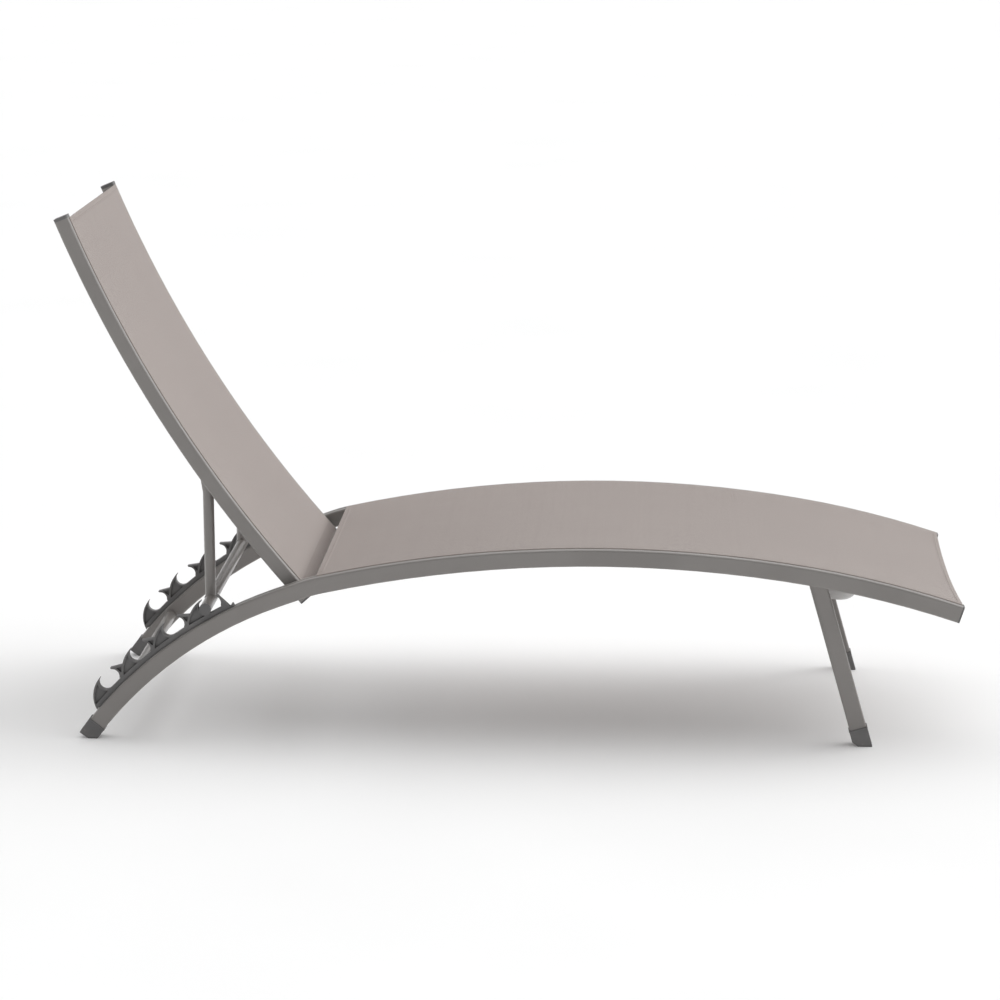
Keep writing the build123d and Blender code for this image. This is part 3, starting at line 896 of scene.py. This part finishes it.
def rolledSections(template):
    # From the front layer's low end round the lower tube, then up behind as a sleeve
    start = backSling["start"]
    facing = outward(backRail, start)
    down = Vector((facing.y, -facing.x))
    centre = railPoint(backRail, start, backRail["half"] - backSling["tubeRadius"])
    roll = backSling["tubeRadius"] + backSling["rollGap"] + sling["thickness"] / 2
    sections = []
    for number in range(1, backSling["rollSteps"] + 1):
        angle = math.radians(backSling["rollAngle"] * number / backSling["rollSteps"])
        normal = facing * math.cos(angle) + down * math.sin(angle)
        upper, lower = narrowSection(backSling["rollReach"], template)
        sections.append((centre + normal * roll, normal, start - roll * angle, upper, lower))

    foot = sections[-1][0]
    footAlong = sections[-1][2]
    topOut = middleOut(backRail) - sling["thickness"] - backSling["sleeveGap"]
    rise = railPoint(backRail, backSling["sleeveEnd"], topOut) - foot
    normal = Vector((-rise.y, rise.x)).normalized()
    clear = backSag(backSling["sleeveEnd"]) + backSling["sleeveClear"]
    for number in range(1, backSling["sleeveSteps"] + 1):
        share = number / backSling["sleeveSteps"]
        along = footAlong - rise.length * share
        upper, lower = narrowSection(backSling["sleeveReach"], template, share * clear)
        sections.append((foot + rise * share, normal, along, upper, lower))
    return sections


def makeBackSling():
    start = backSling["start"]
    end = backSling["end"]
    front = stretchedSections(backRail, start, end, ("end",), backSag)
    template = front[0][3]
    piece = buildSheet("back_sling", rolledSections(template)[::-1] + front)
    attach(piece, "backrest")
    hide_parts("back_fabric")

    along = end - sling["hemWidth"] + stitch["fromHem"]
    row = stitchRow(backRail, along, backSag(along))
    stitches = joinParts("back_hem_stitches", [row], thread)
    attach(stitches, "backrest")

    length = end - start + sling["hemWidth"] + backSling["sleeveLength"]


makeBackSling()
print("back sling made")


weld = {
    "size": 0.0017,
    "sunk": 0.0003,         # into the wall
    "ripple": 0.00028,
    "pitch": 0.0021,        # of the ripples
    "lump": 0.0002,
    "lumpScale": 160,
    "step": 0.0006,
    "corners": 8,
}


def seamAngles(radius):
    # Even steps once round a tube
    count = int(2 * math.pi * radius / weld["step"])
    return [2 * math.pi * number / count for number in range(count)]


def seamAcross(centre, direction, radius, wallY):
    # Where a tube's side meets an upright wall, as a closed row of points
    direction = direction.normalized()
    first = direction.cross(Vector((0, 0, 1))).normalized()
    second = direction.cross(first)
    points = []
    for angle in seamAngles(radius):
        spot = centre + (first * math.cos(angle) + second * math.sin(angle)) * radius
        points.append(spot + direction * ((wallY - spot.y) / direction.y))
    return points


def seamOnTube(barCentre, barRadius, direction, radius, y):
    # Where a tube stands on the side of a bar that runs along Y
    direction = direction.normalized()
    sideways = Vector((-direction.z, 0, direction.x))
    points = []
    for angle in seamAngles(radius):
        offset = radius * math.cos(angle)
        height = math.sqrt(max(barRadius ** 2 - offset ** 2, 0.0))
        spot = Vector((barCentre.x, y + radius * math.sin(angle), barCentre.z))
        points.append(spot + sideways * offset + direction * height)
    return points


def weldBead(seam):
    # Overlapping ripples of weld along a closed seam
    middle = sum(seam, Vector()) / len(seam)
    points = []
    count = len(seam)
    corners = weld["corners"]
    travelled = 0.0
    for number, spot in enumerate(seam):
        ahead = seam[(number + 1) % count] - seam[number - 1]
        radial = (spot - middle).normalized()
        side = ahead.cross(radial).normalized()
        travelled += ahead.length / 2
        wave = abs(math.sin(math.pi * travelled / weld["pitch"]))
        lump = weld["lump"] * noise.noise(spot * weld["lumpScale"])
        size = weld["size"] + weld["ripple"] * wave + lump
        for corner in range(corners):
            angle = 2 * math.pi * corner / corners
            points.append(spot + (radial * math.cos(angle) + side * math.sin(angle)) * size)
    return points, joinRings(count, corners, closed=True)


def placeWelds(name, body, seams):
    piece = joinParts(name, [weldBead(seam) for seam in seams], finishes["frame_paint"])
    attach(piece, body)


# Round cross tubes between two rails, so far along them and out from their middle
crossTubes = {
    "rearStretcher": {"along": 0.104, "out": 0.0, "radius": 0.010},
    "seatSpreader": {"along": 0.514, "out": -0.006, "radius": 0.009},
    "backUpper": {"along": 0.663, "out": -0.003, "radius": 0.009},
}
frontLeg = {
    "lean": math.radians(16.3),
    "behindToe": 0.159,     # where its centre line meets the floor
    "half": 0.015,
    "inner": 0.245,
    "outer": 0.27,
    "capTop": 0.033,        # how far up the leg, and the rail, the foot cap goes
    "searchFrom": 0.8,      # along the rail, for the place where they cross
    "halvings": 40,
}
bow = {
    "radius": 0.0125,
    "forward": 0.068,       # how far its middle stands out from its ends
    "down": 0.047,
    "belowCentre": 0.029,   # of the rail
}
# A front leg's centre line from the floor up, in the form of a rail
legLine = {
    "slope": math.pi / 2 + frontLeg["lean"],
    "spans": [(0.5, 0)],
    "top": 1,
    "start": (railPoint(frameRail, railLength(frameRail)).x - frontLeg["behindToe"], 0),
}


def legCrossing():
    # How far along the rail the leg's centre line crosses it
    low = frontLeg["searchFrom"]
    high = railLength(frameRail)
    for halving in range(frontLeg["halvings"]):
        middle = (low + high) / 2
        spot = railPoint(frameRail, middle)
        if spot.x < legLine["start"][0] - spot.y * math.tan(frontLeg["lean"]):
            low = middle
        else:
            high = middle
    return low


def bowSeam(side):
    # The bow is an arc between the legs, and meets them at a slant
    below = railPoint(frameRail, legCrossing(), -bow["belowCentre"])
    spot = railPoint(legLine, below.y / math.cos(frontLeg["lean"]))
    depth = math.hypot(bow["forward"], bow["down"])
    reach = frontLeg["inner"]
    radius = (reach ** 2 + depth ** 2) / (2 * depth)
    change = -reach / math.sqrt(radius ** 2 - reach ** 2)
    slant = Vector((bow["forward"] / depth * change, side, -bow["down"] / depth * change))
    centre = Vector((spot.x, side * reach, spot.y))
    return seamAcross(centre, slant, bow["radius"], side * (reach - weld["sunk"]))


def tubeSeams(tube, rail):
    spot = railPoint(rail, tube["along"], tube["out"])
    seams = []
    for side in (-1, 1):
        centre = Vector((spot.x, side * rail["inner"], spot.y))
        wallY = side * (rail["inner"] - weld["sunk"])
        seams.append(seamAcross(centre, Vector((0, side, 0)), tube["radius"], wallY))
    return seams


prop = {
    "barRadius": 0.010,
    "strutRadius": 0.0095,
}


def propSeams():
    # Where the two struts stand on the prop's bar
    low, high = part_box("crossbar")
    bar = Vector(((low[0] + high[0]) / 2, 0, (low[2] + high[2]) / 2))
    upwards = jointPlaces["bail_swing"] - bar
    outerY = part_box("strut_left")[1][1]
    y = outerY - prop["strutRadius"]
    return [seamOnTube(bar, prop["barRadius"], upwards, prop["strutRadius"], side * y)
            for side in (-1, 1)]


frameSeams = tubeSeams(crossTubes["rearStretcher"], frameRail)
frameSeams += tubeSeams(crossTubes["seatSpreader"], frameRail)
frameSeams += [bowSeam(-1), bowSeam(1)]
placeWelds("frame_welds", "frame", frameSeams)
placeWelds("backrest_welds", "backrest", tubeSeams(crossTubes["backUpper"], backRail))
placeWelds("prop_welds", "bail", propSeams())
print("welds made")


capRim = {
    "proud": 0.0005,
    "half": 0.0016,         # half its width along the tube
    "wall": 0.001,          # the foot cap's own wall
    "tubeHalf": 0.0125,     # half the width of a rail or a leg
    "corner": 0.0012,
    "cornerSteps": 4,
    "inside": 0.0006,       # how far it goes into the cap
    "shoulder": 0.6,        # its height at its sides
    "crest": 0.75,          # its width at the top
}


def rimAround(rail, along, halfDepth, middleY):
    # Raised lip round the open end of a foot cap
    centre = railPoint(rail, along)
    out = outward(rail, along)
    forward = Vector((out.y, -out.x))
    proud = capRim["proud"]
    shoulder = proud * capRim["shoulder"]
    crest = capRim["crest"]
    profile = [(-capRim["inside"], -1), (shoulder, -1), (proud, -crest),
               (proud, crest), (shoulder, 1), (-capRim["inside"], 1)]
    deep = halfDepth + capRim["wall"] - capRim["corner"]
    wide = capRim["tubeHalf"] + capRim["wall"] - capRim["corner"]
    points = []
    for cornerNumber, (signDeep, signWide) in enumerate(((1, 1), (-1, 1), (-1, -1), (1, -1))):
        for step in range(capRim["cornerSteps"] + 1):
            angle = math.radians(90 * cornerNumber + 90 * step / capRim["cornerSteps"])
            for height, share in profile:
                reach = capRim["corner"] + height
                y = middleY + signWide * wide + reach * math.sin(angle)
                raised = signDeep * deep + reach * math.cos(angle)
                spot = centre + out * raised + forward * (share * capRim["half"])
                points.append((spot.x, y, spot.y))
    ringCount = len(points) // len(profile)
    return points, joinRings(ringCount, len(profile), closed=True)


def makeCapRims():
    along = frontLeg["capTop"] - capRim["half"]
    legMiddle = (frontLeg["inner"] + frontLeg["outer"]) / 2
    rims = []
    for side in (-1, 1):
        rims.append(rimAround(frameRail, along, frameRail["half"], side * frameRail["across"]))
        rims.append(rimAround(legLine, along, frontLeg["half"], side * legMiddle))
    piece = joinParts("foot_cap_rims", rims, finishes["foot_plastic"])
    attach(piece, "frame")


makeCapRims()
print("cap rims made")


softened = {
    "slots": {"dark_plastic": 0.0005, "foot_plastic": 0.0008},      # width of the round
    "legs": 0.0004,
    "merge": 0.000002,
    "segments": 2,
    "angle": math.radians(35),
}


def softenEdges(node, width):
    # Small round on the edges that a mould or a saw leaves sharp
    joined = node.modifiers.new("joined", "WELD")
    joined.merge_threshold = softened["merge"]
    bevel = node.modifiers.new("softened", "BEVEL")
    bevel.width = width
    bevel.segments = softened["segments"]
    bevel.limit_method = "ANGLE"
    bevel.angle_limit = softened["angle"]
    bevel.harden_normals = True


for subpart in subparts:
    if subpart["material_slot"] in softened["slots"]:
        softenEdges(nodes[subpart["node"]], softened["slots"][subpart["material_slot"]])
for side in ("left", "right"):
    softenEdges(nodes["front_leg_" + side], softened["legs"])
print("edges softened")


stage = {
    "floor": rgb(232, 232, 232),
    "pale": rgb(238, 238, 238),
    "mottleScale": 2.0,
    "roughness": 0.9,
    "specular": 0.1,
    "glow": 0.12,
    "reach": 400,       # so far that its edge is on the horizon
}


def makeStage(look):
    reach = look["reach"]
    corners = [(-reach, -reach, 0), (reach, -reach, 0), (reach, reach, 0), (-reach, reach, 0)]
    floor = newPiece("studio_floor", corners, [(0, 1, 2, 3)], smooth=False)
    finish = Finish("studioFloor")
    mottle = finish.speckle(finish.objectPlace(), look["mottleScale"])
    floor.data.materials.append(finish.surface({
        "Base Color": finish.mix(look["floor"], look["pale"], mottle),
        "Roughness": look["roughness"],
        "Specular IOR Level": look["specular"],
        "Emission Color": (1, 1, 1, 1),
        "Emission Strength": look["glow"],
    }))


# Round patches of bright sky, as wide as their spread in degrees
skies = {
    "sky_above": {"towards": (0.35, 0.45, 1), "spread": 105, "strength": 2.3},
    "sky_head": {"towards": (-1, 0.3, 0.45), "spread": 40, "strength": 0.5},
    "sky_foot": {"towards": (1, 0.3, 0.8), "spread": 50, "strength": 0.95},
}


def makeSky(name, look):
    data = bpy.data.lights.new(name, "SUN")
    data.angle = math.radians(look["spread"])
    data.energy = look["strength"]
    lamp = bpy.data.objects.new(name, data)
    bpy.context.scene.collection.objects.link(lamp)
    lamp.rotation_euler = (-Vector(look["towards"])).to_track_quat("-Z", "Y").to_euler()


surroundings = {
    "bright": (0.92, 0.92, 0.92, 1),
    "dim": (0.18, 0.18, 0.18, 1),
    "fade": (0.02, 0.16),       # sines of the heights between which the horizon fades
}


def makeSurroundings(look):
    studio = Finish("studio", "worlds")
    direction = studio.node("ShaderNodeTexCoord", out="Generated")
    height = studio.part(direction, "Z")
    tone = studio.mix(look["bright"], look["dim"], height.between(*look["fade"]))
    glow = studio.node("ShaderNodeBackground", {}, {"Color": tone})
    studio.node("ShaderNodeOutputWorld", {}, {"Surface": glow})
    bpy.context.scene.world = studio.made


makeStage(stage)
makeSurroundings(surroundings)
for name, look in skies.items():
    makeSky(name, look)
bpy.context.scene.view_settings.view_transform = "Standard"
print("stage and lamps set")
